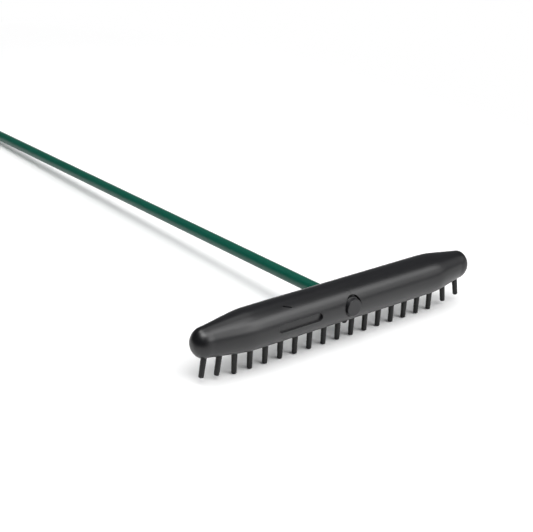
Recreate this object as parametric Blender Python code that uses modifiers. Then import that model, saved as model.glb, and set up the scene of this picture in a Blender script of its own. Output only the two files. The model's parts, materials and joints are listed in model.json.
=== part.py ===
"""Bunker rake: a round, hollow moulded head with a row of set-in tines, on a long coated tube handle.

Everything is laid out about the middle of the head: +X along the head, +Y up the handle and the
tines pointing down. The whole rake is then tilted until it lies on its tine tips and the end of
its handle, with the origin on the ground under the middle of its outline. All sizes in metres.
"""

import math

import bmesh
import bpy
import numpy as np
from mathutils import Matrix, Vector

CLEARANCE = 0.0003
ROUND_STEPS = 48
SMALL_STEPS = 16
MERGE = 0.00001

# Head: full and round in the middle, then tapering to a domed nose at each end
HEAD_LENGTH = 0.614
HEAD_RADIUS = 0.0366
HEAD_WALL = 0.0045
STRAIGHT_LENGTH = 0.418
TAPER_EASE = 0.006
PLAN_TAPER = 0.203
SIDE_TAPER = 0.134
NOSE_LENGTH = 0.0224
KEEL_THICKNESS = 0.0125

# Recessed panel on the front, left of the socket, left bare
PANEL_LENGTH = 0.092
PANEL_HEIGHT = 0.014
PANEL_DEPTH = 0.0044
PANEL_OFFSET = 0.114
PANEL_RISE = 0.0005

# Tines
TINE_PITCH = 0.03175
TINE_REACH = 0.0381
TINE_ROOT_RADIUS = 0.0052
TINE_TIP_RADIUS = 0.0043
TINE_LEAN = math.radians(2.4)
END_MARGIN = 0.020
# The last and the last but one tine at each end: how far the tip is raised, splayed and set forward
END_TINES = ((0.0137, 0.0052, 0.0039), (0.0078, 0.0045, 0.0012))

# Handle tube and its end cap
TUBE_RADIUS = 0.0113
TUBE_WALL = 0.0012
HANDLE_LENGTH = 1.524
CAP_WALL = 0.0015
CAP_LENGTH = 0.045
CAP_END = 0.003
CAP_ROUND = 0.0025
CAP_LIP = 0.0006
CAP_LIP_LENGTH = 0.005

# Socket bush, which carries the tube through the head and shows as a disc on the front
BUSH_WALL = 0.0034
FLANGE_LIP = 0.0023
FLANGE_THICKNESS = 0.0045
FLANGE_ROUND = 0.0012
SEAT_DEPTH = 0.0032
DISC_PROUD = 0.0034
DISC_EDGE = 0.0005
BUSH_END_THICKNESS = 0.0095
COLLAR_PROUD = 0.0055
COLLAR_CHAMFER = 0.0022

# Screw that holds the bush and the tube, on a small pad under the head
SCREW_OFFSET = 0.014
SCREW_RADIUS = 0.0024
SCREW_HEAD_RADIUS = 0.0047
SCREW_HEAD_HEIGHT = 0.0036
SCREW_HEAD_ROUND = 0.0022
SCREW_BITE = 0.005
SCREW_RECESS_RADIUS = 0.0016
SCREW_RECESS_DEPTH = 0.0018
PAD_RADIUS = 0.0058
PAD_SINK = 0.0015

# Places that follow from the sizes above
HALF_LENGTH = HEAD_LENGTH / 2
TAPER_START = STRAIGHT_LENGTH / 2
NOSE_START = HALF_LENGTH - NOSE_LENGTH
CAVITY_END = HALF_LENGTH - 1.5 * HEAD_WALL
BORE_RADIUS = TUBE_RADIUS + CLEARANCE
BUSH_RADIUS = BORE_RADIUS + BUSH_WALL
FLANGE_RADIUS = BUSH_RADIUS + FLANGE_LIP
SLEEVE_RADIUS = BUSH_RADIUS + CLEARANCE
SEAT_RADIUS = FLANGE_RADIUS + CLEARANCE
SEAT_Y = SEAT_DEPTH - math.sqrt(HEAD_RADIUS**2 - SEAT_RADIUS**2)
DISC_Y = -HEAD_RADIUS - DISC_PROUD
BORE_END_Y = DISC_Y + BUSH_END_THICKNESS
COLLAR_Y = HEAD_RADIUS + COLLAR_PROUD
TUBE_START_Y = BORE_END_Y + CLEARANCE
TUBE_END_Y = TUBE_START_Y + HANDLE_LENGTH
PAD_Z = PAD_SINK - math.sqrt(HEAD_RADIUS**2 - SCREW_OFFSET**2)
TINE_COUNT = 2 * int((HALF_LENGTH - END_MARGIN) / TINE_PITCH) + 1


def quarter_round(centre, radius, start, count=3):
    """Points of a quarter circle that runs clockwise from the angle start, in degrees."""
    angles = [math.radians(start - 90 * i / count) for i in range(count + 1)]
    return [(centre[0] + radius * math.cos(a), centre[1] + radius * math.sin(a)) for a in angles]


def taper_drop(x):
    """How far along the taper a place is: 0 in the straight middle, easing into the slope."""
    return TAPER_EASE * math.log1p(math.exp((abs(x) - TAPER_START) / TAPER_EASE))


def section(x):
    """Half width and half height of the head's outside at x."""
    inner = min(abs(x), NOSE_START)
    dome = math.sqrt(max(0.0, 1 - ((abs(x) - inner) / NOSE_LENGTH) ** 2))
    drop = taper_drop(inner)
    return (HEAD_RADIUS - PLAN_TAPER * drop) * dome, (HEAD_RADIUS - SIDE_TAPER * drop) * dome


def clear_scene():
    for obj in list(bpy.data.objects):
        bpy.data.objects.remove(obj, do_unlink=True)


def new_collection(name, hidden=False):
    collection = bpy.data.collections.new(name)
    bpy.context.scene.collection.children.link(collection)
    collection.hide_render = hidden
    return collection


def new_material(name, colour, roughness, metallic=0.0):
    material = bpy.data.materials.new(name)
    material.use_nodes = True
    shader = material.node_tree.nodes["Principled BSDF"]
    shader.inputs["Base Color"].default_value = (*colour, 1.0)
    shader.inputs["Roughness"].default_value = roughness
    shader.inputs["Metallic"].default_value = metallic
    material.diffuse_color = (*colour, 1.0)
    return material


def add_object(name, mesh, collection, frame, material=None):
    obj = bpy.data.objects.new(name, mesh)
    collection.objects.link(obj)
    obj.parent = frame
    if material:
        mesh.materials.append(material)
    else:
        obj.hide_render = True
        obj.display_type = "WIRE"
    return obj


def shade_round(mesh, angle=35):
    mesh.shade_smooth()
    mesh.set_sharp_from_angle(angle=math.radians(angle))


def turned(name, profile, collection, frame, material=None, steps=ROUND_STEPS, ring=False):
    """A turned piece about its own Z: the profile runs down its outer side, top to bottom."""
    mesh = bpy.data.meshes.new(name)
    count = len(profile)
    edges = [(i, (i + 1) % count) for i in range(count if ring else count - 1)]
    mesh.from_pydata([(r, 0, z) for r, z in profile], edges, [])
    obj = add_object(name, mesh, collection, frame, material)
    screw = obj.modifiers.new("Turn", "SCREW")
    screw.axis = "Z"
    screw.steps = screw.render_steps = steps
    screw.use_merge_vertices = True
    screw.merge_threshold = MERGE
    screw.use_smooth_shade = True
    return obj


def rod(name, radius, bottom, top, collection, frame, steps=SMALL_STEPS):
    """A plain round cutter about its own Z."""
    profile = [(0, top), (radius, top), (radius, bottom), (0, bottom)]
    return turned(name, profile, collection, frame, steps=steps)


def along_handle(obj, y=0.0):
    """Stands a turned piece's Z along the handle."""
    obj.rotation_euler = (-math.pi / 2, 0, 0)
    obj.location = (0, y, 0)
    return obj


def cut(obj, cutter, name):
    modifier = obj.modifiers.new(name, "BOOLEAN")
    modifier.operation = "DIFFERENCE"
    modifier.object = cutter


def join(obj, other, name):
    modifier = obj.modifiers.new(name, "BOOLEAN")
    modifier.operation = "UNION"
    modifier.object = other


def stations():
    """Places along +X where the head's section changes: straight, easing, taper and dome."""
    easing = [TAPER_START + TAPER_EASE * k for k in (-3, -2, -1, 0, 1, 2, 3)]
    taper = list(np.linspace(easing[-1], NOSE_START, 4)[1:])
    dome = [NOSE_START + NOSE_LENGTH * math.sin(math.radians(a)) for a in (15, 30, 44, 57, 68, 77, 84)]
    return [TAPER_START / 2] + easing + taper + dome


def loft(name, rings, tips, collection, frame, material=None):
    """A closed skin over rings of points. Each end closes on a tip, or on a flat face without one."""
    bm = bmesh.new()
    rows = [[bm.verts.new(p) for p in ring] for ring in rings]
    for row, following in zip(rows, rows[1:]):
        for i in range(len(row)):
            j = (i + 1) % len(row)
            bm.faces.new((row[i], row[j], following[j], following[i]))
    for row, tip in ((rows[0], tips[0]), (rows[-1], tips[1])):
        if tip is None:
            bm.faces.new(row)
            continue
        point = bm.verts.new(tip)
        for i in range(len(row)):
            bm.faces.new((row[i], row[(i + 1) % len(row)], point))
    bmesh.ops.triangulate(bm, faces=bm.faces)
    bmesh.ops.recalc_face_normals(bm, faces=bm.faces)
    mesh = bpy.data.meshes.new(name)
    bm.to_mesh(mesh)
    bm.free()
    return add_object(name, mesh, collection, frame, material)


def oval_ring(x, half_width, half_height, floor, steps):
    """One section of the head or of its cavity. It goes no lower than the floor."""
    ring = []
    for i in range(steps):
        angle = 2 * math.pi * i / steps
        ring.append((x, half_width * math.cos(angle), max(half_height * math.sin(angle), floor)))
    return ring


def head_form(collection, frame, material):
    places = [-x for x in reversed(stations())] + stations()
    rings = [oval_ring(x, *section(x), -HEAD_RADIUS, ROUND_STEPS) for x in places]
    tips = ((-HALF_LENGTH, 0, 0), (HALF_LENGTH, 0, 0))
    return loft("rake_head", rings, tips, collection, frame, material)


def cavity_form(collection, frame):
    """The hollow inside: the outside less the wall, with a thick keel left at the bottom."""
    places = [x for x in stations()[1:] if x < CAVITY_END][::2] + [CAVITY_END]
    places = [-x for x in reversed(places)] + places
    rings = []
    for x in places:
        half_width, half_height = section(x)
        floor = KEEL_THICKNESS - half_height
        ring = oval_ring(x, half_width - HEAD_WALL, half_height - HEAD_WALL, floor, ROUND_STEPS // 2)
        rings.append(ring)
    return loft("cavity", rings, (None, None), collection, frame)


def panel_form(name, collection, frame, grown=0.0):
    """A long slot with round ends and a flat floor, for the recess in the front or the wall behind it."""
    radius = PANEL_HEIGHT / 2 + grown
    straight = (PANEL_LENGTH - PANEL_HEIGHT) / 2
    bm = bmesh.new()
    outline = []
    for side, first in ((1, -90), (-1, 90)):
        for k in range(SMALL_STEPS // 2 + 1):
            angle = math.radians(first + 180 * k / (SMALL_STEPS // 2))
            outline.append((side * straight + radius * math.cos(angle), 0, radius * math.sin(angle)))
    face = bm.faces.new([bm.verts.new(p) for p in outline])
    extruded = bmesh.ops.extrude_face_region(bm, geom=[face])
    moved = [v for v in extruded["geom"] if isinstance(v, bmesh.types.BMVert)]
    bmesh.ops.translate(bm, verts=moved, vec=(0, -2 * HEAD_RADIUS, 0))
    bmesh.ops.recalc_face_normals(bm, faces=bm.faces)
    mesh = bpy.data.meshes.new(name)
    bm.to_mesh(mesh)
    bm.free()
    obj = add_object(name, mesh, collection, frame)
    obj.location = (-PANEL_OFFSET, PANEL_DEPTH + grown - HEAD_RADIUS, PANEL_RISE)
    return obj


def tine_ends(index):
    """Where a tine leaves the head, and where its tip ends."""
    x = (index - TINE_COUNT // 2) * TINE_PITCH
    from_end = min(index, TINE_COUNT - 1 - index)
    raised, outward, forward = END_TINES[from_end] if from_end < len(END_TINES) else (0.0, 0.0, 0.0)
    down = Vector((0, math.sin(TINE_LEAN), -math.cos(TINE_LEAN)))
    root = Vector((x, 0, 0)) + section(x)[1] * down
    tip = Vector((x + math.copysign(outward, x), -forward, 0)) + (HEAD_RADIUS + TINE_REACH - raised) * down
    return root, tip


def aim(root, tip):
    """Puts a piece's origin at the root and turns its own -Z towards the tip."""
    return Matrix.Translation(root) @ (root - tip).to_track_quat("Z", "Y").to_matrix().to_4x4()


def tine_profile(reach):
    """Straight inside the keel, then tapering to a full round tip."""
    profile = [(0, KEEL_THICKNESS), (TINE_ROOT_RADIUS, KEEL_THICKNESS), (TINE_ROOT_RADIUS, 0)]
    for angle in (math.radians(a) for a in (0, 25, 48, 70)):
        profile.append((TINE_TIP_RADIUS * math.cos(angle), TINE_TIP_RADIUS * (1 - math.sin(angle)) - reach))
    return profile + [(0, -reach)]


def add_tines(collection, cutters, frame, material, head):
    """The row of tines, and the sockets that they are pressed into."""
    for index in range(TINE_COUNT):
        root, tip = tine_ends(index)
        place = aim(root, tip)
        profile = tine_profile((tip - root).length)
        tine = turned(f"tine_{index + 1:02d}", profile, collection, frame, material, SMALL_STEPS)
        tine.matrix_basis = place
        socket_radius = TINE_ROOT_RADIUS + CLEARANCE
        socket_top = KEEL_THICKNESS + HEAD_WALL / 2
        socket = rod(f"socket_{index + 1:02d}", socket_radius, -HEAD_WALL, socket_top, cutters, frame)
        socket.matrix_basis = place
        cut(head, socket, "Tine socket")


def add_head(collection, cutters, frame, material):
    head = head_form(collection, frame, material)
    cavity = cavity_form(cutters, frame)
    wide, through = SLEEVE_RADIUS + HEAD_WALL, 2 * HEAD_RADIUS
    sleeve = rod("sleeve_core", wide, -through, through, cutters, frame, ROUND_STEPS)
    cut(cavity, along_handle(sleeve), "Sleeve left standing")
    cut(cavity, panel_form("panel_backing", cutters, frame, HEAD_WALL), "Wall behind the panel")
    cut(head, cavity, "Hollow")

    bore = rod("socket_bore", SLEEVE_RADIUS, -through, through, cutters, frame, ROUND_STEPS)
    cut(head, along_handle(bore), "Socket bore")
    seat = rod("flange_seat", SEAT_RADIUS, -through, SEAT_Y, cutters, frame, ROUND_STEPS)
    cut(head, along_handle(seat), "Flange seat")
    cut(head, panel_form("panel_recess", cutters, frame), "Bare panel")

    pad = rod("screw_pad", PAD_RADIUS, -HEAD_RADIUS, -SLEEVE_RADIUS - HEAD_WALL / 2, cutters, frame)
    spot_face = rod("spot_face", PAD_RADIUS + CLEARANCE, -through, PAD_Z, cutters, frame)
    pad.location = spot_face.location = (0, -SCREW_OFFSET, 0)
    join(head, pad, "Screw pad")
    cut(head, spot_face, "Spot face")
    return head


def add_bush(collection, frame, material):
    flange_front = SEAT_Y - CLEARANCE - FLANGE_THICKNESS
    rim = (FLANGE_RADIUS - FLANGE_ROUND, flange_front + FLANGE_ROUND)
    profile = [(0, BORE_END_Y), (BORE_RADIUS, BORE_END_Y), (BORE_RADIUS, COLLAR_Y)]
    profile += [(BUSH_RADIUS - COLLAR_CHAMFER, COLLAR_Y), (BUSH_RADIUS, COLLAR_Y - COLLAR_CHAMFER)]
    profile += [(BUSH_RADIUS, SEAT_Y - CLEARANCE), (FLANGE_RADIUS, SEAT_Y - CLEARANCE)]
    profile += quarter_round(rim, FLANGE_ROUND, 0)
    profile += [(BUSH_RADIUS, flange_front), (BUSH_RADIUS, DISC_Y + DISC_EDGE)]
    profile += [(BUSH_RADIUS - DISC_EDGE, DISC_Y), (0, DISC_Y)]
    return along_handle(turned("socket_bush", profile, collection, frame, material))


def add_tube(collection, frame, material):
    inner = TUBE_RADIUS - TUBE_WALL
    profile = [(inner, TUBE_END_Y), (TUBE_RADIUS, TUBE_END_Y)]
    profile += [(TUBE_RADIUS, TUBE_START_Y), (inner, TUBE_START_Y)]
    return along_handle(turned("handle_tube", profile, collection, frame, material, ring=True))


def add_cap(collection, frame, material):
    """The push-on cap at the far end of the handle, open towards the head."""
    inner = TUBE_RADIUS + CLEARANCE
    outer = inner + CAP_WALL
    floor = TUBE_END_Y + CLEARANCE
    end = floor + CAP_END
    mouth = end - CAP_LENGTH
    profile = [(0, end)] + quarter_round((outer - CAP_ROUND, end - CAP_ROUND), CAP_ROUND, 90, 4)
    profile += [(outer, mouth + CAP_LIP_LENGTH + CAP_LIP), (outer + CAP_LIP, mouth + CAP_LIP_LENGTH)]
    profile += [(outer + CAP_LIP, mouth), (inner, mouth), (inner, floor), (0, floor)]
    return along_handle(turned("handle_end_cap", profile, collection, frame, material))


def add_screw(collection, cutters, frame, material, drilled):
    """A pan-head screw from below, through the head's keel, the bush and the tube's wall."""
    seat = PAD_Z - CLEARANCE
    low = seat - SCREW_HEAD_HEIGHT
    top = SCREW_BITE - TUBE_RADIUS
    recess = SCREW_RECESS_RADIUS
    rim = (SCREW_HEAD_RADIUS - SCREW_HEAD_ROUND, low + SCREW_HEAD_ROUND)
    profile = [(0, top), (SCREW_RADIUS / 3, top), (SCREW_RADIUS, top - 2 * SCREW_RADIUS)]
    profile += [(SCREW_RADIUS, seat), (SCREW_HEAD_RADIUS, seat)]
    profile += quarter_round(rim, SCREW_HEAD_ROUND, 0)
    profile += [(recess, low), (recess, low + SCREW_RECESS_DEPTH), (0, low + SCREW_RECESS_DEPTH)]
    screw = turned("fixing_screw", profile, collection, frame, material, SMALL_STEPS)
    screw.location = (0, -SCREW_OFFSET, 0)
    hole = rod("screw_hole", SCREW_RADIUS + CLEARANCE, -2 * HEAD_RADIUS, 0, cutters, frame)
    hole.location = (0, -SCREW_OFFSET, 0)
    for obj in drilled:
        cut(obj, hole, "Screw hole")
    return screw


def outline_points(objects):
    """World positions of every evaluated vertex of the given objects."""
    bpy.context.view_layer.update()
    graph = bpy.context.evaluated_depsgraph_get()
    found = []
    for obj in objects:
        evaluated = obj.evaluated_get(graph)
        mesh = evaluated.to_mesh()
        points = np.empty(3 * len(mesh.vertices), np.float32)
        mesh.vertices.foreach_get("co", points)
        matrix = np.array(obj.matrix_world)
        found.append(points.reshape(-1, 3) @ matrix[:3, :3].T + matrix[:3, 3])
        evaluated.to_mesh_clear()
    return np.concatenate(found)


def resting_tilt(tines, cap):
    """The turn about X that brings the tine tips and the end of the handle level."""
    low, high = 0.0, math.radians(30)
    for _ in range(40):
        tilt = (low + high) / 2
        tips, end = [(p[:, 2] * math.cos(tilt) - p[:, 1] * math.sin(tilt)).min() for p in (tines, cap)]
        low, high = (tilt, high) if tips < end else (low, tilt)
    return tilt


def main():
    clear_scene()
    parts = new_collection("bunker_rake")
    cutters = new_collection("cutters", hidden=True)
    frame = bpy.data.objects.new("rake_frame", None)
    parts.objects.link(frame)

    head_black = new_material("black_moulded_head", (0.022, 0.022, 0.023), 0.42)
    tine_black = new_material("black_moulded_tine", (0.016, 0.016, 0.017), 0.45)
    bush_black = new_material("black_moulded_bush", (0.020, 0.020, 0.021), 0.45)
    tube_green = new_material("green_coated_tube", (0.008, 0.095, 0.060), 0.35)
    cap_black = new_material("black_vinyl_cap", (0.018, 0.018, 0.018), 0.60)
    screw_steel = new_material("blackened_steel", (0.060, 0.060, 0.062), 0.40, 1.0)

    head = add_head(parts, cutters, frame, head_black)
    add_tines(parts, cutters, frame, tine_black, head)
    bush = add_bush(parts, frame, bush_black)
    tube = add_tube(parts, frame, tube_green)
    cap = add_cap(parts, frame, cap_black)
    add_screw(parts, cutters, frame, screw_steel, (head, bush, tube))
    shade_round(head.data)

    tines = [obj for obj in parts.objects if obj.name.startswith("tine_")]
    frame.rotation_euler = (-resting_tilt(outline_points(tines), outline_points([cap])), 0, 0)
    solids = [obj for obj in parts.objects if obj.type == "MESH"]
    points = outline_points(solids)
    low, high = points.min(axis=0), points.max(axis=0)
    frame.location = (0, -(low[1] + high[1]) / 2, -low[2])
    bpy.context.view_layer.update()


main()
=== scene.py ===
"""Bunker rake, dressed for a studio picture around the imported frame.

Shapes are laid out in the rake's own frame: X along the head, Y up the handle and Z up, from the
middle of the head. The rake is then laid down as it rests, on its tine tips and its handle's end.
"""

import json
import math

import bmesh
import bpy
import numpy as np
from bpy.props import FloatProperty, FloatVectorProperty, IntProperty, PointerProperty
from bpy.types import Operator, Panel, PropertyGroup
from mathutils import Matrix, Vector
from mathutils.geometry import delaunay_2d_cdt


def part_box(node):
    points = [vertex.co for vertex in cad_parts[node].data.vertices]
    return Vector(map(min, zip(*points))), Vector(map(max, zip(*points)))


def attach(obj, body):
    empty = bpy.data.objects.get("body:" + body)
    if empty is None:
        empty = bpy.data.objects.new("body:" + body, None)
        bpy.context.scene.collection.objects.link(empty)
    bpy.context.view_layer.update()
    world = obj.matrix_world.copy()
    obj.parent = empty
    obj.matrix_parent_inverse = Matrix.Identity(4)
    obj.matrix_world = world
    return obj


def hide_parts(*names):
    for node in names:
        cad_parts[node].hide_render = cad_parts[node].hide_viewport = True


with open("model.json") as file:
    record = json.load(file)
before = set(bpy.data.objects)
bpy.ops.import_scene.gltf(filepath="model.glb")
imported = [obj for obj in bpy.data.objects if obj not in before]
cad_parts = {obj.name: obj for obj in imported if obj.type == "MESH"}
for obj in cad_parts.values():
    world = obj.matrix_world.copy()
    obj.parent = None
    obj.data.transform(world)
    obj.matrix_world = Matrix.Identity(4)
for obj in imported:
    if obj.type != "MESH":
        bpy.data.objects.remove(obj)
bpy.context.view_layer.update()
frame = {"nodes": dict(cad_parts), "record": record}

bl_info = {
    "name": "Bunker rake",
    "version": (1, 0, 0),
    "blender": (4, 5, 0),
    "location": "3D View > Sidebar > Rake",
    "description": "Builds a bunker rake with a moulded head, a row of tines and a coated tube handle",
    "category": "Add Mesh",
}

ROOT = "root"
MM = 0.001


# Places taken from the frame

def box_middle(node):
    low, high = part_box(node)
    return (low + high) / 2


def handle_fall():
    """How far the handle falls from level, from the direction of the face at its end."""
    axis = next(m["axis"] for m in frame["record"]["mounts"] if m["name"] == "handle_end_face")
    return math.atan2(-axis[2], axis[1])


REST = Matrix.Translation(box_middle("rake_head")) @ Matrix.Rotation(-handle_fall(), 4, "X")
HEAD_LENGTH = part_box("rake_head")[1].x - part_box("rake_head")[0].x
TINES = sorted(name for name in frame["nodes"] if name.startswith("tine_"))


# Sizes and colours

def length(name, text, millimetres):
    return FloatProperty(name=name, description=text, default=millimetres * MM, min=0.0,
                         unit="LENGTH", precision=5)


def linear(code):
    """The linear colour of an sRGB hex value."""
    values = [int(code[i:i + 2], 16) / 255 for i in (1, 3, 5)]
    return [v / 12.92 if v <= 0.04045 else ((v + 0.055) / 1.055) ** 2.4 for v in values]


def colour(name, text, code):
    return FloatVectorProperty(name=name, description=text, default=linear(code), min=0.0, max=1.0,
                               subtype="COLOR")


class RakeHeadSizes(PropertyGroup):
    overall: length("Length", "Overall length of the head", HEAD_LENGTH / MM)
    radius: length("Radius", "Radius of the round middle part", 36.57)
    straight: length("Straight part", "Length of the part with a constant section", 418)
    ease: length("Taper ease", "How gently the straight part runs into the taper", 6)
    plan_taper: FloatProperty(name="Plan taper", default=0.203,
                              description="Narrowing per side, seen from above")
    side_taper: FloatProperty(name="Side taper", default=0.134,
                              description="Narrowing per side, seen from the front")
    right_more: length("Right straight", "How much further the straight part runs on the right side", 6)
    nose: length("Nose", "Length of the domed end, seen from the front", 22.4)
    nose_plan: length("Plan nose", "Length of the fuller domed end seen from above", 28)
    around: IntProperty(name="Points round", default=96, min=24,
                        description="Points round the head's section")
    spacing: length("Spacing", "Distance between the rings of the skin", 3.0)
    hole_edge: length("Hole edge", "Rounding of the mouth of the socket hole", 0.7)
    hole_play: length("Hole play", "How much wider than the flange's seat the hole's mouth is", 0.3)
    hole_rise: length("Hole rise", "How far the mouth of the hole reaches up past its round", 2.9)
    groove: length("Groove", "Depth of the groove round the flange, below its seat", 2.0)
    panel_length: length("Panel length", "Length of the recessed panel", 92)
    panel_height: length("Panel height", "Height of the recessed panel", 14)
    panel_depth: length("Panel depth", "Depth of the panel's floor below the front", 4.4)
    panel_offset: length("Panel offset", "Distance from the middle of the head to the panel's middle", 114)
    panel_rise: length("Panel rise", "Height of the panel's middle above the handle's axis", 0.5)
    panel_edge: length("Panel edge", "Rounding of the panel's rim", 0.4)
    slit_length: length("Slit length", "Length of the slit above the panel", 17)
    slit_width: length("Slit width", "Width of the slit", 2.5)
    slit_depth: length("Slit depth", "Depth of the slit", 3.2)
    weld_depth: length("Weld line depth", "Depth of the line where the melt met above the hole", 0.2)
    weld_width: length("Weld line width", "Width of that line", 2.4)
    colour: colour("Head colour", "Black moulded polypropylene", "#101012")


class RakeTineSizes(PropertyGroup):
    pitch: length("Pitch", "Distance from tine to tine", 31.75)
    reach: length("Reach", "How far a tine stands out of the head", 38.1)
    root_radius: length("Root radius", "Radius of a tine where it leaves the head", 5.4)
    tip_radius: length("Tip radius", "Radius of a tine where its tip begins", 4.5)
    tip_length: length("Tip length", "Length of the blunt, rounded tip", 2.2)
    seat: length("Seated length", "Length of a tine inside the head", 12.0)
    splay: length("Splay", "How far in and forward the roots of the end tines sit, for each tine", 0.75)
    lean: FloatProperty(name="Lean", description="Lean of the row towards the handle",
                        default=math.radians(2.4), subtype="ANGLE")
    sides: IntProperty(name="Sides", description="Points round a tine", default=32, min=8)
    steps: IntProperty(name="Steps", description="Rings along a tine", default=28, min=8)
    colour: colour("Tine colour", "Black moulded plastic of the tines", "#0b0b0c")


class RakeSocketSizes(PropertyGroup):
    disc_radius: length("Disc radius", "Radius of the disc on the front", 15.0)
    disc_front: length("Disc front", "Distance from the handle's crossing to the disc's face", 40.0)
    disc_edge: length("Disc edge", "Rounding of the disc's edge", 0.8)
    flange_radius: length("Flange radius", "Radius of the flange round the disc", 17.3)
    flange_thickness: length("Flange thickness", "Thickness of the flange", 3.4)
    flange_edge: length("Flange edge", "Rounding of the flange's edge", 1.2)
    seat_depth: length("Seat depth", "Depth of the flange's seat below the front", 3.2)
    bore_radius: length("Bore radius", "Radius of the bore that takes the tube", 11.6)
    bore_end: length("Bore end", "Distance from the handle's crossing to the end of the bore", 30.5)
    collar: length("Collar", "How far the collar stands out at the back", 5.5)
    clearance: length("Clearance", "Gap between pieces that fit together", 0.3)
    colour: colour("Socket colour", "Black moulded plastic of the socket", "#1a1a1c")


class RakeHandleSizes(PropertyGroup):
    tube_radius: length("Tube radius", "Outer radius of the tube", 11.3)
    tube_wall: length("Tube wall", "Wall of the tube", 1.2)
    tube_length: length("Tube length", "Length of the tube", 1524)
    cap_wall: length("Cap wall", "Wall of the end cap", 1.5)
    cap_length: length("Cap length", "Length of the end cap", 45)
    cap_end: length("Cap end", "Thickness of the cap's end", 3)
    cap_round: length("Cap rounding", "Rounding of the cap's end", 2.5)
    tube_colour: colour("Tube colour", "Dark green coating", "#024b3c")
    cap_colour: colour("Cap colour", "Black dipped vinyl", "#161616")


class RakeScrewSizes(PropertyGroup):
    offset: length("Offset", "Distance of the screw in front of the handle's crossing", 14)
    seat: length("Seat", "Depth of the screw's seat below the handle's axis", 32.3)
    pad_radius: length("Pad radius", "Radius of the pad under the screw's head", 5.8)
    shank_radius: length("Shank radius", "Radius of the screw's shank", 2.4)
    head_radius: length("Head radius", "Radius of the screw's head", 4.7)
    head_height: length("Head height", "Height of the screw's head", 3.6)
    recess: length("Recess", "Reach of the arms of the cross recess", 2.4)
    recess_arm: length("Recess arm", "Width of the arms of the cross recess", 1.1)
    bite: length("Bite", "How far the screw reaches into the tube", 5.0)
    colour: colour("Screw colour", "Blackened steel", "#1c1c1d")


class RakeStageSettings(PropertyGroup):
    floor_colour: colour("Floor colour", "Pale studio floor", "#eeeeee")
    floor_size: length("Floor size", "Side of the square floor", 14000)
    clear_length: length("Clear length", "Length of the strip along the handle that keeps its shadow", 1500)
    focal_length: FloatProperty(name="Focal length", description="Lens of the camera", default=80.33, min=10)


GROUPS = {
    "rake_head": RakeHeadSizes, "rake_tines": RakeTineSizes, "rake_socket": RakeSocketSizes,
    "rake_handle": RakeHandleSizes, "rake_screw": RakeScrewSizes, "rake_stage": RakeStageSettings,
}


def settings(name):
    return getattr(bpy.context.scene, name)


# Finishes

def tint(base, lift=1.0, more=0.0):
    """A colour with its alpha, made lighter by a factor and a step."""
    return [min(1.0, c * lift + more) for c in base] + [1.0]


def add_node(tree, kind, links=None, **values):
    """Adds a node.

    values sets its properties, or its inputs where a name has none, and links feeds its inputs.
    """
    node = tree.nodes.new(kind)
    for name, value in values.items():
        if hasattr(node, name):
            setattr(node, name, value)
        else:
            node.inputs[name.replace("_", " ")].default_value = value
    for name, source in (links or {}).items():
        socket = node.inputs[name] if isinstance(name, int) else node.inputs[name.replace("_", " ")]
        if isinstance(source, bpy.types.NodeSocket):
            tree.links.new(source, socket)
        else:
            socket.default_value = source
    return node


def new_material(name):
    material = bpy.data.materials.new(name)
    material.use_nodes = True
    material.node_tree.nodes.clear()
    return material, material.node_tree


def varied(tree, source, scale, low, high, detail=3.0):
    """A value that wanders from low to high over the surface. scale is features per metre."""
    noise = add_node(tree, "ShaderNodeTexNoise", {"Vector": source}, Scale=scale, Detail=detail)
    spread = add_node(tree, "ShaderNodeMapRange", {
        "Value": noise.outputs["Fac"], "To Min": low, "To Max": high})
    return noise.outputs["Fac"], spread.outputs["Result"]


def grained(tree, source, layers, distance):
    """Bump made of noise layers of (features per metre, strength), finest last."""
    normal = None
    for scale, strength in layers:
        noise = add_node(tree, "ShaderNodeTexNoise", {"Vector": source}, Scale=scale, Detail=2.0)
        bump = add_node(tree, "ShaderNodeBump", {"Height": noise.outputs["Fac"]},
                        Strength=strength, Distance=distance)
        if normal:
            tree.links.new(normal, bump.inputs["Normal"])
        normal = bump.outputs["Normal"]
    return normal


def moulded_plastic(name, base, roughness, grain=0.12, ior=1.5):
    """Injection or blow moulded polymer.

    The steel mould's fine spark-eroded grain softens its gloss, flow leaves the tone a little
    uneven, and handling polishes it in patches. Real grain is about 0.2 mm, which is drawn at
    about 0.8 mm so that it shows, over waves of about 4.5 mm from the skin's uneven cooling.
    """
    material, tree = new_material(name)
    place = add_node(tree, "ShaderNodeTexCoord").outputs["Object"]
    _, gloss = varied(tree, place, 45, roughness - 0.04, roughness + 0.05, 5.0)
    drift, _ = varied(tree, place, 18, 0, 1)
    tone = add_node(tree, "ShaderNodeMix", {"Factor": drift, 6: tint(base), 7: tint(base, 1.22)},
                    data_type="RGBA")
    normal = grained(tree, place, ((220, grain * 1.4), (1250, grain)), 0.0004)
    shader = add_node(tree, "ShaderNodeBsdfPrincipled", {
        "Base Color": tone.outputs[2], "Roughness": gloss, "Normal": normal, "IOR": ior})
    add_node(tree, "ShaderNodeOutputMaterial", {"Surface": shader.outputs["BSDF"]})
    return material


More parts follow.
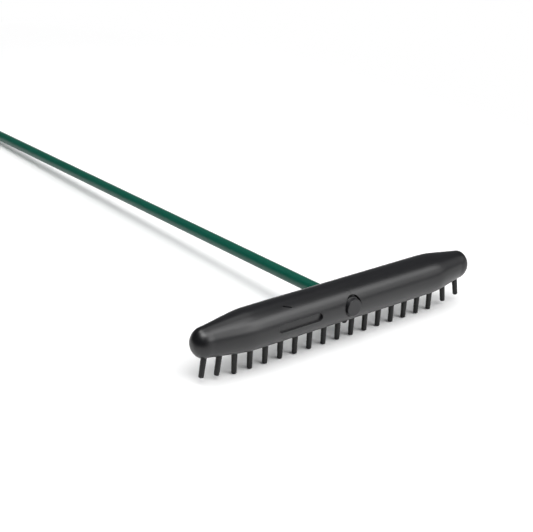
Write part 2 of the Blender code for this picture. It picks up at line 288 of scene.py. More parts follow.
def powder_coat(name, base):
    """Polyester powder coat baked on an aluminium tube.

    It flows out smooth with a faint orange peel, whose waves are 2 to 3 mm long, and it is a
    shade lighter where it lies thin. Its shine is weak, so its IOR is below a polyester's 1.5.
    """
    material, tree = new_material(name)
    place = add_node(tree, "ShaderNodeTexCoord").outputs["Object"]
    _, gloss = varied(tree, place, 60, 0.30, 0.38)
    thin, _ = varied(tree, place, 30, 0, 1)
    tone = add_node(tree, "ShaderNodeMix", {"Factor": thin, 6: tint(base), 7: tint(base, 1.18, 0.001)},
                    data_type="RGBA")
    normal = grained(tree, place, ((380, 0.10), (900, 0.05)), 0.0004)
    shader = add_node(tree, "ShaderNodeBsdfPrincipled", {
        "Base Color": tone.outputs[2], "Roughness": gloss, "Normal": normal, "IOR": 1.42})
    add_node(tree, "ShaderNodeOutputMaterial", {"Surface": shader.outputs["BSDF"]})
    return material


def blackened_steel(name, base):
    """Steel screw with a black oxide finish: dark grey, brighter where the driver has rubbed."""
    material, tree = new_material(name)
    place = add_node(tree, "ShaderNodeTexCoord").outputs["Object"]
    rubbed, gloss = varied(tree, place, 700, 0.28, 0.46, 4.0)
    tone = add_node(tree, "ShaderNodeMix", {"Factor": rubbed, 6: tint(base), 7: tint(base, 1.7)},
                    data_type="RGBA")
    shader = add_node(tree, "ShaderNodeBsdfPrincipled", {
        "Base Color": tone.outputs[2], "Roughness": gloss, "Metallic": 1.0})
    add_node(tree, "ShaderNodeOutputMaterial", {"Surface": shader.outputs["BSDF"]})
    return material


# Making pieces

def finish_piece(piece, material, slot, *nodes, smooth=45):
    """Lays a piece down as the rake rests, hangs it on the root body and hides the frame's nodes it replaces.
    """
    mesh = piece.data
    mesh.transform(REST)
    mesh.materials.clear()
    mesh.materials.append(material)
    mesh.shade_smooth()
    mesh.set_sharp_from_angle(angle=math.radians(smooth))
    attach(piece, ROOT)
    if nodes:
        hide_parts(*nodes)
    return piece


def mesh_piece(name, bm):
    mesh = bpy.data.meshes.new(name)
    bm.to_mesh(mesh)
    bm.free()
    piece = bpy.data.objects.new(name, mesh)
    bpy.context.scene.collection.objects.link(piece)
    return piece


def arc(centre, radius, first, last, count):
    """Points (r, y) on an arc from one angle to another, in degrees."""
    angles = [math.radians(first + (last - first) * i / count) for i in range(count + 1)]
    return [(centre[0] + radius * math.cos(a), centre[1] + radius * math.sin(a)) for a in angles]


def turned(profile, sides, place, closed=False):
    """A turned skin. The profile is (radius, height) and runs down its outer side; place stands it up."""
    bm = bmesh.new()
    rings = []
    for radius, height in profile:
        if radius < 1e-7:
            rings.append([bm.verts.new(place @ Vector((0, 0, height)))])
            continue
        rings.append([bm.verts.new(place @ Vector((radius * math.cos(a), radius * math.sin(a), height)))
                      for a in (2 * math.pi * i / sides for i in range(sides))])
    pairs = list(zip(rings, rings[1:])) + ([(rings[-1], rings[0])] if closed else [])
    for upper, lower in pairs:
        for i in range(sides):
            j = (i + 1) % sides
            corners = [upper[i % len(upper)], lower[i % len(lower)],
                       lower[j % len(lower)], upper[j % len(upper)]]
            bm.faces.new(list(dict.fromkeys(corners)))
    return bm


ALONG_HANDLE = Matrix.Rotation(-math.pi / 2, 4, "X")


# The moulded head

# The weld line's first and last turn up from the front, in degrees
WELD_LINE = (26.0, 58.0)
SLIT_ENDS = (Vector((-139.6, -18.9, 31.4)) * MM, Vector((-125.7, -23.9, 27.8)) * MM)
# How full the nose's domes are: 0.5 is an ellipse, and less is fuller
PLAN_POWER, SIDE_POWER = 0.4, 0.5


class HeadForm:
    """The outside of the head as a rule: its half width and half height at any place along it."""

    def __init__(self, sizes):
        self.sizes = sizes
        self.half = sizes.overall / 2
        self.nose_start = self.half - sizes.nose

    def section(self, x):
        s = self.sizes
        plan = self.half_across(x, s.plan_taper, s.nose_plan, PLAN_POWER)
        return plan, self.half_across(x, s.side_taper, s.nose, SIDE_POWER)

    def half_across(self, x, taper, nose, power):
        """Half the head's size at x in one view: straight, eased into its taper, and domed at the end."""
        s = self.sizes
        straight, whole = s.straight / 2, self.half - s.straight / 2
        if x > 0:
            straight, taper = straight + s.right_more, taper * whole / (whole - s.right_more)
        inner = min(abs(x), self.half - nose)
        dome = max(0.0, 1 - ((abs(x) - inner) / nose) ** 2) ** power
        drop = s.ease * math.log1p(math.exp((inner - straight) / s.ease))
        return (s.radius - taper * drop) * dome

    def point(self, x, turn):
        """The point at x, turned round from the front: up is positive."""
        width, height = self.section(x)
        sink = 1 - self.weld_line(x, turn) / height
        return Vector((x, -width * sink * math.cos(turn), height * sink * math.sin(turn)))

    def weld_line(self, x, turn):
        """Depth of the faint line above the hole, where the melt met again past the hole's core."""
        s = self.sizes
        across = max(0.0, 1 - abs(2 * x / s.weld_width))
        climb = (math.degrees(turn) - WELD_LINE[0]) / (WELD_LINE[1] - WELD_LINE[0])
        return s.weld_depth * across * max(0.0, min(1.0, 4 * climb, 4 * (1 - climb)))

    def turn_of(self, point):
        """The turn of a point on the skin, from -270 degrees to 90."""
        width, height = self.section(point.x)
        turn = math.atan2(point.z / height, -point.y / width)
        return turn - 2 * math.pi if turn > math.pi / 2 else turn

    def front(self, x, z, side=-1):
        """The skin's point at x and z, on the front or, with side 1, on the back."""
        width, height = self.section(x)
        return Vector((x, side * width * math.sqrt(max(0.0, 1 - (z / height) ** 2)), z))

    def along(self, start, direction):
        """Slides a point along a direction onto the skin."""
        point = start.copy()
        for _ in range(12):
            width, height = self.section(point.x)
            value = (point.y / width) ** 2 + (point.z / height) ** 2 - 1
            step = 1e-6
            ahead = point + step * direction
            width, height = self.section(ahead.x)
            slope = ((ahead.y / width) ** 2 + (ahead.z / height) ** 2 - 1 - value) / step
            point = point - direction * (value / slope)
        return point


def tine_ends(form):
    """Where each tine leaves the head and where it ends, from the tines' own rule and the frame."""
    tines = settings("rake_tines")
    down = Vector((0, math.sin(tines.lean), -math.cos(tines.lean)))
    middle = len(TINES) // 2
    found = []
    for index, node in enumerate(TINES):
        x = (index - middle) * tines.pitch
        # The last two tines at each end lean out from roots that sit nearer the middle
        splay = max(0, abs(index - middle) - middle + 2) * tines.splay
        x -= math.copysign(splay, x)
        root = Vector((x, -splay, 0)) + form.section(x)[1] * down
        corners = [REST.inverted() @ v.co for v in frame["nodes"][node].data.vertices]
        tip = max(corners, key=lambda p: (p - root).dot(down))
        found.append((root, tip))
    return found


def ring_face(bm, upper, lower):
    """Joins two rings of equal count with quads."""
    for i in range(len(upper)):
        j = (i + 1) % len(upper)
        bm.faces.new((upper[i], upper[j], lower[j], lower[i]))


def circle(count, radius, rise=0.0):
    """A round outline whose upper half may be drawn up by a rise."""
    turns = [2 * math.pi * i / count for i in range(count)]
    return [(radius * math.cos(t), (radius + (rise if t < math.pi else 0.0)) * math.sin(t)) for t in turns]


def stadium(count, length, height):
    """A slot's outline with round ends, with its points spread evenly along the straights and the ends."""
    radius, straight = height / 2, (length - height) / 2
    ends, sides = count // 5, count // 2 - count // 5
    loop = []
    for side, first in ((1, -90), (-1, 90)):
        for k in range(ends):
            angle = math.radians(first + 180 * k / ends)
            loop.append((side * straight + radius * math.cos(angle), radius * math.sin(angle)))
        for k in range(sides):
            share = k / sides
            loop.append((side * straight * (1 - 2 * share), side * radius))
    return loop


def rounding(edge, steps=4, margin=0.3 * MM):
    """Pairs of how far out of a wall and how deep a rounded edge runs.

    They start a margin away on the skin, so that the skin's shading ends before the edge.
    """
    turns = [math.pi / 2 * k / steps for k in range(steps + 1)]
    return [(edge + margin, 0.0)] + [(edge * (1 - math.sin(t)), edge * (1 - math.cos(t))) for t in turns]


def flange_seat(socket, head):
    """The radius of the flange's seat in the head, and its place along the handle."""
    radius = socket.flange_radius + socket.clearance
    return radius, socket.seat_depth - math.sqrt(head.radius**2 - radius**2)


def socket_opening(form, sizes, count=96):
    """The hole through the head: its mouth, the groove, the flange's seat and the back rim."""
    socket = settings("rake_socket")
    seat_radius, seat_y = flange_seat(socket, sizes)
    mouth = seat_radius + sizes.hole_play
    bore = socket.disc_radius + socket.clearance

    def flat(y, *outline):
        return [Vector((x, y, z)) for x, z in circle(count, *outline)]

    rings = []
    for out, deep in rounding(sizes.hole_edge):
        outline = circle(count, mouth + out, sizes.hole_rise)
        rings.append([form.front(x, z) + Vector((0, deep, 0)) for x, z in outline])
    rings.append(flat(seat_y + sizes.groove, mouth, sizes.hole_rise))
    rings.append(flat(seat_y + sizes.groove, seat_radius))
    rings.append(flat(seat_y, seat_radius))
    rings.append(flat(seat_y, bore))
    back = []
    for out, deep in rounding(sizes.hole_edge):
        back.append([form.front(x, z, 1) - Vector((0, deep, 0)) for x, z in circle(count, bore + out)])
    return rings, back


def panel_rings(form, sizes, count=150):
    """The recessed panel: a rounded rim, walls and a flat floor, left bare."""

    def at(length, height, y=None, deep=0.0):
        loop = []
        for x, z in stadium(count, length, height):
            point = form.front(x - sizes.panel_offset, z + sizes.panel_rise)
            point.y = point.y + deep if y is None else y
            loop.append(point)
        return loop

    floor = sizes.panel_depth - sizes.radius
    rings = [at(sizes.panel_length + 2 * out, sizes.panel_height + 2 * out, deep=deep)
             for out, deep in rounding(sizes.panel_edge)]
    corner = sizes.panel_edge / 2
    for k in range(4):
        turn = math.pi / 2 * k / 3
        inset = corner * (1 - math.cos(turn))
        rings.append(at(sizes.panel_length - 2 * inset, sizes.panel_height - 2 * inset,
                        floor - corner + corner * math.sin(turn)))
    for share in (0.72, 0.4):
        height = sizes.panel_height * share
        rings.append(at(sizes.panel_length - sizes.panel_height + height, height, floor))
    return rings


def slit_rings(form, sizes, count=50):
    """The slit on the shoulder of the head, closed at its floor."""
    start, end = SLIT_ENDS
    middle, along = (start + end) / 2, (end - start).normalized()
    outward = Vector((0, middle.y, middle.z)).normalized()
    across = outward.cross(along)
    outward = along.cross(across)

    def at(inset, deep):
        outline = stadium(count, sizes.slit_length - 2 * inset, sizes.slit_width - 2 * inset)
        return [form.along(middle + along * u + across * v, outward) - outward * deep for u, v in outline]

    edge = 0.12 * MM
    margin = 0.15 * MM
    rings = [at(-out, deep) for out, deep in rounding(edge, 2, margin)]
    return rings + [at(edge, sizes.slit_depth), at(3 * edge, sizes.slit_depth)]


def tine_socket_rings(form, root, tip, count=36):
    """A round socket for one tine, with a rounded mouth."""
    tines, socket = settings("rake_tines"), settings("rake_socket")
    axis = (tip - root).normalized()
    side = axis.cross(Vector((0, 1, 0))).normalized()
    across = side.cross(axis)
    radius = tines.root_radius + socket.clearance
    mouth_edge = 0.7 * MM
    rings = []
    for out, deep in rounding(mouth_edge, 3):
        loop = [root + side * u + across * v for u, v in circle(count, radius + out)]
        rings.append([form.along(p, axis) - axis * deep for p in loop])
    rings.append([root - axis * tines.seat + side * u + across * v for u, v in circle(count, radius)])
    return rings


def screw_pad_rings(form, count=40):
    """The small round pad under the head that the screw seats on."""
    screw = settings("rake_screw")

    def at(radius, z=None):
        loop = []
        for u, v in circle(count, radius):
            x, y = -u, v - screw.offset
            width, height = form.section(x)
            loop.append(Vector((x, y, -height * math.sqrt(1 - (y / width) ** 2) if z is None else z)))
        return loop

    play, hole_depth = 0.3 * MM, 8 * MM
    hole = screw.shank_radius + play
    rings = [at(screw.pad_radius + out * MM) for out in (1.1, 0.5, 0.2)]
    rings.append(at(screw.pad_radius, -screw.seat))
    return rings + [at(hole, -screw.seat), at(hole, -screw.seat + hole_depth)]


def net_columns(sizes, last):
    """Places along the head for the net's rings, closer at the weld line and where the taper begins."""
    near, far = sizes.straight / 2 - 12 * MM, sizes.straight / 2 + 18 * MM
    close = sizes.spacing * 0.6
    columns = list(np.arange(0, sizes.weld_width, sizes.weld_width / 4))
    columns += list(np.arange(sizes.weld_width + sizes.spacing / 2, near, sizes.spacing))
    columns += list(np.arange(near, far, close))
    columns += list(np.arange(far, last - close, sizes.spacing)) + [last]
    return [-x for x in reversed(columns[1:])] + columns


def inside(shape, place):
    """Whether a place lies in a closed outline."""
    x, y = place
    following = np.roll(shape, -1, axis=0)
    crosses = (shape[:, 1] > y) != (following[:, 1] > y)
    rise = np.where(crosses, following[:, 1] - shape[:, 1], 1.0)
    at = shape[:, 0] + (y - shape[:, 1]) / rise * (following[:, 0] - shape[:, 0])
    return bool((crosses & (at > x)).sum() % 2)


def net_places(sizes, columns, turns, shapes):
    """The net's places on the unrolled skin, clear of every opening."""
    keep_off = sizes.spacing * 0.62
    places = []
    for x in columns:
        for turn in turns:
            place = np.array((x, sizes.radius * turn))
            near = [s for s in shapes if abs(place - s.mean(axis=0)).max() < np.ptp(s, axis=0).max()]
            if all(np.min(np.hypot(*(s - place).T)) > keep_off and not inside(s, place) for s in near):
                places.append(Vector(place))
    return places


def run_in(bm, previous, rings):
    """Carries a ring of vertices inwards through further rings of points, and returns the last."""
    for ring in rings:
        following = [bm.verts.new(p) for p in ring]
        ring_face(bm, previous, following)
        previous = following
    return previous


def fan(bm, ring, point):
    middle = bm.verts.new(point)
    for i in range(len(ring)):
        bm.faces.new((ring[i], ring[(i + 1) % len(ring)], middle))


def dome(bm, form, side, last, turns, steps=9):
    """The rest of a nose, past the net's last ring."""
    sizes = form.sizes
    start = math.asin((last - form.nose_start) / sizes.nose)
    angles = [start + (math.pi / 2 - start) * k / steps for k in range(steps)]
    stations = [side * (form.nose_start + sizes.nose * math.sin(a)) for a in angles]
    rings = [[form.point(x, turn) for turn in turns] for x in stations]
    end = run_in(bm, [bm.verts.new(p) for p in rings[0]], rings[1:])
    fan(bm, end, Vector((side * form.half, 0, 0)))


def head_skin(form, sizes):
    """The head's skin: an even net on the unrolled skin, fitted to the loop of each opening."""
    front, back = socket_opening(form, sizes)
    pockets = [panel_rings(form, sizes), slit_rings(form, sizes), screw_pad_rings(form)]
    pockets += [tine_socket_rings(form, root, tip) for root, tip in tine_ends(form)]
    openings = [front, back] + pockets
    outlines = [[Vector((p.x, sizes.radius * form.turn_of(p))) for p in rings[0]] for rings in openings]
    net_past_nose_start = 10.5 * MM
    last = form.nose_start + net_past_nose_start
    turns = [math.pi / 2 - 2 * math.pi * j / sizes.around for j in range(sizes.around + 1)]
    shapes = [np.array([p[:] for p in outline]) for outline in outlines]

    loop_places = [p for outline in outlines for p in outline]
    loop_points = [p for rings in openings for p in rings[0]]
    owners = [k for k, outline in enumerate(outlines) for _ in outline]
    places = loop_places + net_places(sizes, net_columns(sizes, last), turns, shapes)
    found, _, faces, origins, _, _ = delaunay_2d_cdt(places, [], [], 0, 1e-7, True)

    bm = bmesh.new()
    skin = {}
    order = []
    for place, origin in zip(found, origins):
        index = origin[0]
        on_loop = index < len(loop_points)
        point = loop_points[index] if on_loop else form.point(place.x, place.y / sizes.radius)
        skin[index] = bm.verts.new(point)
        order.append(index)
    for face in faces:
        corners = [order[i] for i in face]
        loops = {owners[i] if i < len(owners) else None for i in corners}
        # A face with all its corners on one loop lies across that opening
        if len(loops) > 1 or loops == {None}:
            bm.faces.new([skin[i] for i in corners])

    rims = []
    base = 0
    for outline in outlines:
        rims.append([skin[base + i] for i in range(len(outline))])
        base += len(outline)
    ring_face(bm, run_in(bm, rims[0], front[1:]), run_in(bm, rims[1], back[1:]))
    for rim, rings in zip(rims[2:], pockets):
        end = run_in(bm, rim, rings[1:])
        fan(bm, end, sum((v.co for v in end), Vector()) / len(end))
    for side in (-1, 1):
        dome(bm, form, side, last, turns[:-1])
    bmesh.ops.remove_doubles(bm, verts=bm.verts, dist=1e-6)
    bmesh.ops.recalc_face_normals(bm, faces=bm.faces)
    return bm


class RAKE_OT_head(Operator):
    """Builds the hollow moulded head with its socket hole, bare panel, tine sockets and screw pad"""
    bl_idname = "rake.head"
    bl_label = "Head"

    def execute(self, context):
        sizes = settings("rake_head")
        form = HeadForm(sizes)
        piece = mesh_piece("head_moulding", head_skin(form, sizes))
        material = moulded_plastic("moulded_polypropylene_black", sizes.colour, 0.29, 0.06, ior=1.54)
        finish_piece(piece, material, "moulded_head", "rake_head", smooth=50)
        return {"FINISHED"}


# The row of tines

def tine_tree(material):
    """Geometry Nodes that turn each edge, from a tine's seat to its tip, into a tapered blunt tine."""
    tree = bpy.data.node_groups.new("tine_row", "GeometryNodeTree")
    face = tree.interface
    face.new_socket("Geometry", in_out="INPUT", socket_type="NodeSocketGeometry")
    for name, kind in (("Root radius", "NodeSocketFloat"), ("Tip radius", "NodeSocketFloat"),
                       ("Tip length", "NodeSocketFloat"), ("Sides", "NodeSocketInt"),
                       ("Steps", "NodeSocketInt")):
        face.new_socket(name, in_out="INPUT", socket_type=kind)
    face.new_socket("Geometry", in_out="OUTPUT", socket_type="NodeSocketGeometry")
    given = add_node(tree, "NodeGroupInput").outputs

    def maths(operation, *values):
        return add_node(tree, "ShaderNodeMath", dict(enumerate(values)), operation=operation).outputs[0]

    curves = add_node(tree, "GeometryNodeMeshToCurve", {"Mesh": given["Geometry"]})
    size = add_node(tree, "GeometryNodeSplineLength").outputs["Length"]
    held = add_node(tree, "GeometryNodeCaptureAttribute", {"Geometry": curves.outputs[0]})
    held.capture_items.new("FLOAT", "Length")
    held.domain = "CURVE"
    tree.links.new(size, held.inputs["Length"])
    along = add_node(tree, "GeometryNodeResampleCurve", {
        "Curve": held.outputs["Geometry"], "Count": given["Steps"]})
    share = maths("DIVIDE", add_node(tree, "GeometryNodeSplineParameter").outputs["Index"],
                  maths("SUBTRACT", given["Steps"], 1.0))
    whole = held.outputs["Length"]
    # The last third of the rings crowd into the round tip, evenly by angle
    shaft_share = 0.66
    body = maths("DIVIDE", maths("MINIMUM", share, shaft_share), shaft_share)
    past_body = maths("DIVIDE", maths("MAXIMUM", maths("SUBTRACT", share, shaft_share), 0.0),
                      1.0 - shaft_share)
    tip_turn = maths("MULTIPLY", past_body, math.pi / 2)
    shaft = maths("SUBTRACT", whole, given["Tip length"])
    cap = maths("MULTIPLY", maths("SINE", tip_turn), given["Tip length"])
    reach = maths("ADD", maths("MULTIPLY", body, shaft), cap)
    owner = add_node(tree, "GeometryNodeCurveOfPoint").outputs["Curve Index"]
    ends = add_node(tree, "GeometryNodeSampleCurve", {
        "Curves": held.outputs["Geometry"], "Factor": maths("DIVIDE", reach, whole), "Curve Index": owner})
    placed = add_node(tree, "GeometryNodeSetPosition", {
        "Geometry": along.outputs["Curve"], "Position": ends.outputs["Position"]})
    width = add_node(tree, "ShaderNodeMapRange", {
        "Value": reach, "From Max": shaft, "To Min": given["Root radius"], "To Max": given["Tip radius"]})
    radius = maths("MULTIPLY", width.outputs["Result"], maths("MAXIMUM", maths("COSINE", tip_turn), 0.02))
    ring = add_node(tree, "GeometryNodeCurvePrimitiveCircle", {"Resolution": given["Sides"], "Radius": 1.0})
    skin = add_node(tree, "GeometryNodeCurveToMesh", {
        "Curve": placed.outputs["Geometry"], "Profile Curve": ring.outputs["Curve"], "Scale": radius,
        "Fill Caps": True})
    real = add_node(tree, "GeometryNodeRealizeInstances", {"Geometry": skin.outputs["Mesh"]})
    finish = add_node(tree, "GeometryNodeSetMaterial", {
        "Geometry": real.outputs["Geometry"], "Material": material})
    add_node(tree, "NodeGroupOutput", {"Geometry": finish.outputs["Geometry"]})
    return tree


def grown(name, guide, tree, inputs):
    """Runs a node tree on a guide mesh and returns the result as a plain mesh object."""
    carrier = bpy.data.objects.new(name + "_guide", guide)
    bpy.context.scene.collection.objects.link(carrier)
    modifier = carrier.modifiers.new("Grow", "NODES")
    modifier.node_group = tree
    sockets = {item.name: item.identifier for item in tree.interface.items_tree if item.in_out == "INPUT"}
    for label, value in inputs.items():
        modifier[sockets[label]] = value
    bpy.context.view_layer.update()
    graph = bpy.context.evaluated_depsgraph_get()
    mesh = bpy.data.meshes.new_from_object(carrier.evaluated_get(graph))
    carrier.modifiers.remove(modifier)
    bpy.data.objects.remove(carrier)
    mesh.name = name
    piece = bpy.data.objects.new(name, mesh)
    bpy.context.scene.collection.objects.link(piece)
    return piece


class RAKE_OT_tines(Operator):
    """Builds the row of blunt tines"""
    bl_idname = "rake.tines"
    bl_label = "Tines"

    def execute(self, context):
        tines = settings("rake_tines")
        form = HeadForm(settings("rake_head"))
        clear_of_seat = 0.3 * MM
        points = []
        for root, tip in tine_ends(form):
            axis = (tip - root).normalized()
            points += [root - axis * (tines.seat - clear_of_seat), tip]
        guide = bpy.data.meshes.new("tine_lines")
        guide.from_pydata(points, [(i, i + 1) for i in range(0, len(points), 2)], [])
        material = moulded_plastic("moulded_nylon_black", tines.colour, 0.40, 0.08, ior=1.46)
        piece = grown("tine_row", guide, tine_tree(material), {
            "Root radius": tines.root_radius, "Tip radius": tines.tip_radius,
            "Tip length": tines.tip_length, "Sides": tines.sides, "Steps": tines.steps})
        finish_piece(piece, material, "moulded_tine", *TINES)
        return {"FINISHED"}


# Socket, handle and screw

class RAKE_OT_socket(Operator):
    """Builds the socket bush with the disc and flange that show on the front"""
    bl_idname = "rake.socket"
    bl_label = "Socket"

    def execute(self, context):
        s, head = settings("rake_socket"), settings("rake_head")
        behind = flange_seat(s, head)[1] - s.clearance
        before = behind - s.flange_thickness
        back = head.radius + s.collar
        round_back, bevel, rim = 2.2 * MM, 0.6 * MM, 0.3 * MM
        profile = [(0, -s.bore_end), (s.bore_radius, -s.bore_end), (s.bore_radius, back - bevel),
                   (s.bore_radius + bevel, back)]
        profile += arc((s.disc_radius - round_back, back - round_back), round_back, 90, 0, 6)
        profile += [(s.disc_radius, behind), (s.flange_radius - rim, behind),
                    (s.flange_radius, behind - rim)]
        profile += arc((s.flange_radius - s.flange_edge, before + s.flange_edge), s.flange_edge, 0, -90, 6)
        fillet = 0.5 * MM
        profile += arc((s.disc_radius + fillet, before - fillet), fillet, 90, 180, 4)
        profile += arc((s.disc_radius - s.disc_edge, s.disc_edge - s.disc_front), s.disc_edge, 0, -90, 6)
        profile += [(s.disc_radius * 0.6, -s.disc_front), (0, -s.disc_front)]
        piece = mesh_piece("socket_moulding", turned(profile, 112, ALONG_HANDLE))
        material = moulded_plastic("moulded_acetal_black", s.colour, 0.34, 0.08)
        finish_piece(piece, material, "moulded_bush", "socket_bush")
        return {"FINISHED"}


class RAKE_OT_handle(Operator):
    """Builds the coated tube and the vinyl cap on its far end"""
    bl_idname = "rake.handle"
    bl_label = "Handle"

    def execute(self, context):
        h, socket = settings("rake_handle"), settings("rake_socket")
        start = socket.clearance - socket.bore_end
        end = start + h.tube_length
        inner, edge = h.tube_radius - h.tube_wall, 0.3 * MM
        profile = [(inner + edge, end), (h.tube_radius - edge, end), (h.tube_radius, end - edge)]
        stations = np.linspace(end - edge, start + edge, 40)
        profile += [(h.tube_radius, y) for y in stations[1:]]
        profile += [(h.tube_radius - edge, start), (inner + edge, start), (inner, start + edge),
                    (inner, end - edge)]
        tube = mesh_piece("handle_tube_coated", turned(profile, 72, ALONG_HANDLE, closed=True))
        finish_piece(tube, powder_coat("powder_coat_green", h.tube_colour), "coated_tube", "handle_tube")

        bore = h.tube_radius + socket.clearance
        outer = bore + h.cap_wall
        floor = end + socket.clearance
        far = floor + h.cap_end
        mouth = far - h.cap_length
        lip, lip_length = 0.6 * MM, 5 * MM
        lip_edge = 0.5 * MM
        profile = [(0, far), (outer * 0.55, far)]
        profile += arc((outer - h.cap_round, far - h.cap_round), h.cap_round, 90, 0, 8)
        profile += [(outer, mouth + lip_length + 2 * lip), (outer + lip, mouth + lip_length)]
        profile += arc((outer + lip - lip_edge, mouth + lip_edge), lip_edge, 0, -90, 4)
        profile += [(bore, mouth), (bore, floor), (0, floor)]
        cap = mesh_piece("handle_end_cap_dipped", turned(profile, 72, ALONG_HANDLE))
        material = moulded_plastic("dipped_vinyl_black", h.cap_colour, 0.50, 0.18)
        finish_piece(cap, material, "vinyl_cap", "handle_end_cap")
        return {"FINISHED"}


def cross_reach(out, arm, half):
    """How far a cross with four arms reaches in a direction from its middle."""
    turn = math.atan2(out.y, out.x) % (math.pi / 2)
    turn = min(turn, math.pi / 2 - turn)
    return min(arm / math.cos(turn), half / max(math.sin(turn), 1e-6))


class RAKE_OT_screw(Operator):
    """Builds the pan-head screw under the socket"""
    bl_idname = "rake.screw"
    bl_label = "Screw"

    def execute(self, context):
        s, handle = settings("rake_screw"), settings("rake_handle")
        gap = 0.3 * MM
        seat = -s.seat - gap
        low, top = seat - s.head_height, s.bite - handle.tube_radius
        dome, deep = 2.2 * MM, 1.8 * MM
        profile = [(0, top), (s.shank_radius / 3, top), (s.shank_radius, top - 2 * s.shank_radius)]
        profile += [(s.shank_radius, seat), (s.head_radius, seat)]
        profile += arc((s.head_radius - dome, low + dome), dome, 0, -90, 8)
        profile += [(s.recess, low), (s.recess * 0.8, low + deep), (0, low + deep)]
        bm = turned(profile, 96, Matrix.Translation((0, -s.offset, 0)))
        for vert in bm.verts:
            out = Vector((vert.co.x, vert.co.y + s.offset, 0))
            if vert.co.z < low + deep + 1e-6 and 1e-7 < out.length < s.recess + 1e-6:
                vert.co += out * (cross_reach(out, s.recess, s.recess_arm / 2) / s.recess - 1)
        piece = mesh_piece("fixing_screw_pan_head", bm)
        finish_piece(piece, blackened_steel("blackened_screw_steel", s.colour), "screw_steel", "fixing_screw")
        return {"FINISHED"}


# The stage

LAMP_DISTANCE = 7.0


def softbox(name, azimuth, elevation, wide, high, radiance):
    """A rectangular soft light, placed and sized by the angles, in degrees, that the head sees it at.

    Azimuth 0 is in front of the head and 90 beyond its right end; a radiance of 1 is white paper.
    """
    turn, climb = math.radians(azimuth), math.radians(elevation)
    way = Vector((math.sin(turn) * math.cos(climb), -math.cos(turn) * math.cos(climb), math.sin(climb)))
    light = bpy.data.lights.new(name, "AREA")
    light.shape = "RECTANGLE"
    light.size = 2 * LAMP_DISTANCE * math.tan(math.radians(wide / 2))
    light.size_y = 2 * LAMP_DISTANCE * math.tan(math.radians(high / 2))
    light.energy = math.pi * radiance * light.size * light.size_y
    lamp = bpy.data.objects.new(name, light)
    bpy.context.scene.collection.objects.link(lamp)
    facing = (-way).to_track_quat("-Z", "Y").to_matrix().to_4x4()
    lamp.matrix_world = Matrix.Translation(REST.translation + LAMP_DISTANCE * way) @ facing


# Name, azimuth, elevation, width, height and radiance. Together they make a wide soft light from the
# front right and a wider one overhead, whose parts differ in strength as the studio's did
SOFTBOXES = (
    ("front_low", 20, 19, 26, 21, 3.14),
    ("front_high", 20, 38, 28, 19, 1.89),
    ("front_right_low", 45, 18, 26, 23, 1.10),
    ("front_right_high", 45, 38, 28, 19, 3.19),
    ("right_low", 70, 18, 26, 23, 0.44),
    ("front_left_high", -20, 38, 36, 17, 0.85),
    ("upper_left", -60, 56, 36, 19, 1.33),
    ("upper_front_left", -25, 56, 36, 19, 2.36),
    ("upper_front", 5, 56, 36, 19, 2.71),
    ("upper_front_right", 33, 55, 20, 16, 0.60),
    ("overhead_left", -90, 76, 60, 22, 2.96),
    ("overhead_front", 0, 76, 60, 22, 1.83),
    ("overhead_back", 180, 76, 60, 22, 1.23),
)

# The camera was measured with the row of tine tips level, in a frame of its own. The rake lies down
# on its handle's end here, so that frame is tilted and shifted to the rake's
CAMERA_PLACE = (-1.257830, -1.416906, 0.849282)
CAMERA_YAW, CAMERA_PITCH = 37.903, 20.668
MEASURED_TILT = 1.208
MEASURED_SHIFT = (0, 0.00466, -0.07462)


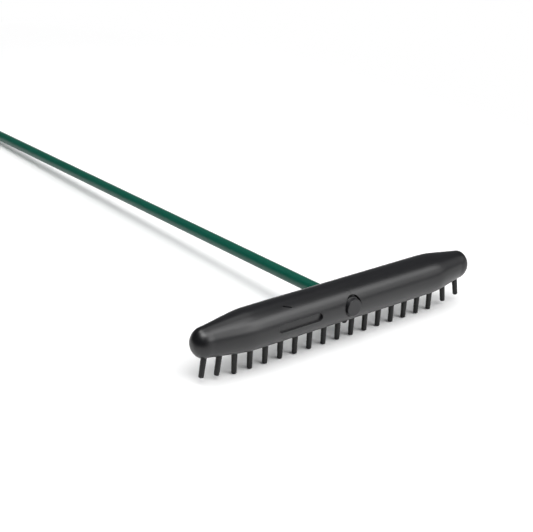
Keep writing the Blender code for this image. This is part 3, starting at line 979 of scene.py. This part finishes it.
class RAKE_OT_stage(Operator):
    """Sets the pale floor, the soft lights, the world and the camera"""
    bl_idname = "rake.stage"
    bl_label = "Stage"

    def execute(self, context):
        s = settings("rake_stage")
        scene = context.scene
        half, below = s.floor_size / 2, 0.2 * MM
        bm = bmesh.new()
        corners = [bm.verts.new((x * half, y * half, -below))
                   for x, y in ((-1, -1), (1, -1), (1, 1), (-1, 1))]
        bm.faces.new(corners)
        floor = mesh_piece("studio_floor", bm)
        material, tree = new_material("studio_floor_pale")
        rays = add_node(tree, "ShaderNodeLightPath").outputs
        camera_ray, mirror_ray = rays["Is Camera Ray"], rays["Is Glossy Ray"]
        # The camera sees the floor as white paper, and lit by the lamps alone, so that it keeps the shadow
        paper = add_node(tree, "ShaderNodeMix", {
            "Factor": camera_ray, 6: tint(s.floor_colour), 7: (1, 1, 1, 1)}, data_type="RGBA")
        lit = add_node(tree, "ShaderNodeBsdfDiffuse", {"Color": paper.outputs[2]})
        white = add_node(tree, "ShaderNodeEmission", {"Color": (1, 1, 1, 1), "Strength": 1.0})

        def maths(operation, *values):
            return add_node(tree, "ShaderNodeMath", dict(enumerate(values)), operation=operation).outputs[0]

        def ramp(value, first, last, low, high):
            return add_node(tree, "ShaderNodeMapRange", {
                "Value": value, "From Min": first, "From Max": last,
                "To Min": low, "To Max": high}).outputs[0]

        # Farther off it fades to plain white, from 0.45 m to 1.3 m away from the handle's line
        here = add_node(tree, "ShaderNodeTexCoord").outputs["Object"]
        place = add_node(tree, "ShaderNodeSeparateXYZ", {0: here})
        x, y = place.outputs["X"], place.outputs["Y"]
        past = maths("MAXIMUM", maths("SUBTRACT", maths("ABSOLUTE", y), s.clear_length / 2), 0.0)
        apart = maths("SQRT", maths("ADD", maths("MULTIPLY", x, x), maths("MULTIPLY", past, past)))
        seen = maths("MAXIMUM", maths("MAXIMUM", camera_ray, mirror_ray), rays["Is Transmission Ray"])
        share = maths("MULTIPLY", seen, ramp(apart, 0.45, 1.3, 0.0, 1.0))
        pale = add_node(tree, "ShaderNodeMixShader", {0: share, 1: lit.outputs[0], 2: white.outputs[0]})
        # Painted dark reflection: past the ends of the head and in front of its left end the floor turns dark
        # for mirror rays only, while the camera still sees it white, so that the head's ends mirror a dark
        # patch
        right = maths("MULTIPLY", ramp(x, 0.20, 0.62, 0.0, 0.5), ramp(y, -1.15, -0.85, 0.0, 1.0))
        left = maths("MULTIPLY", ramp(x, -0.12, -0.42, 0.0, 1.0), ramp(y, -0.82, -1.12, 0.0, 1.0))
        left = maths("MAXIMUM", left, ramp(x, -0.42, -0.85, 0.0, 1.0))
        ends = maths("MULTIPLY", maths("ADD", left, right), mirror_ray)
        # Near-black floor seen only by mirror rays: the painted dark reflection on the head's ends
        dark = add_node(tree, "ShaderNodeBsdfDiffuse", {"Color": (0.01, 0.01, 0.01, 1)})
        floor_with_painted_reflection = add_node(tree, "ShaderNodeMixShader", {0: ends, 1: pale.outputs[0], 2: dark.outputs[0]})
        add_node(tree, "ShaderNodeOutputMaterial", {"Surface": floor_with_painted_reflection.outputs[0]})
        floor.data.materials.append(material)

        world = bpy.data.worlds.new("studio_air")
        world.use_nodes = True
        air = world.node_tree
        air.nodes.clear()
        # A dim room: a grey wall beyond the rake's right end and next to nothing elsewhere
        way = add_node(air, "ShaderNodeTexCoord").outputs["Generated"]
        behind = add_node(air, "ShaderNodeVectorMath", {0: way, 1: (0.71, 0.71, 0.0)},
                          operation="DOT_PRODUCT")
        level = add_node(air, "ShaderNodeMapRange", {
            "Value": behind.outputs["Value"], "From Min": 0.1, "From Max": 0.7,
            "To Min": 0.05, "To Max": 0.15})
        room = add_node(air, "ShaderNodeBackground", {
            "Color": tint(linear("#f0f4f8")), "Strength": level.outputs["Result"]})
        add_node(air, "ShaderNodeOutputWorld", {"Surface": room.outputs[0]})
        scene.world = world
        for row in SOFTBOXES:
            softbox(*row)

        camera = bpy.data.objects.new("photo_camera", bpy.data.cameras.new("photo_camera"))
        scene.collection.objects.link(camera)
        camera.data.sensor_width = 36
        camera.data.lens = s.focal_length
        camera.data.clip_end = 100
        yaw, pitch = math.radians(CAMERA_YAW), math.radians(CAMERA_PITCH)
        measured = Matrix.Rotation(-yaw, 4, "Z") @ Matrix.Rotation(math.pi / 2 - pitch, 4, "X")
        measured.translation = Vector(CAMERA_PLACE)
        to_rake = Matrix.Rotation(-math.radians(MEASURED_TILT), 4, "X")
        to_rake = to_rake @ Matrix.Translation(MEASURED_SHIFT)
        camera.matrix_world = REST @ to_rake @ measured
        scene.camera = camera
        scene.view_settings.view_transform = "Standard"
        return {"FINISHED"}


class RAKE_PT_panel(Panel):
    """Buttons and sizes of the bunker rake"""
    bl_idname = "RAKE_PT_panel"
    bl_label = "Bunker rake"
    bl_space_type = "VIEW_3D"
    bl_region_type = "UI"
    bl_category = "Rake"

    def draw(self, context):
        for operator in OPERATORS:
            self.layout.operator(operator.bl_idname)
        for name, group in GROUPS.items():
            box = self.layout.box()
            for prop in group.__annotations__:
                box.prop(getattr(context.scene, name), prop)


OPERATORS = (RAKE_OT_head, RAKE_OT_tines, RAKE_OT_socket, RAKE_OT_handle, RAKE_OT_screw, RAKE_OT_stage)
CLASSES = tuple(GROUPS.values()) + OPERATORS + (RAKE_PT_panel,)


def register():
    for cls in CLASSES:
        bpy.utils.register_class(cls)
    for name, group in GROUPS.items():
        setattr(bpy.types.Scene, name, PointerProperty(type=group))


def unregister():
    for name in GROUPS:
        delattr(bpy.types.Scene, name)
    for cls in reversed(CLASSES):
        bpy.utils.unregister_class(cls)


def main():
    register()
    bpy.ops.rake.head()
    bpy.ops.rake.tines()
    bpy.ops.rake.socket()
    bpy.ops.rake.handle()
    bpy.ops.rake.screw()
    bpy.ops.rake.stage()


if __name__ == "__main__":
    main()
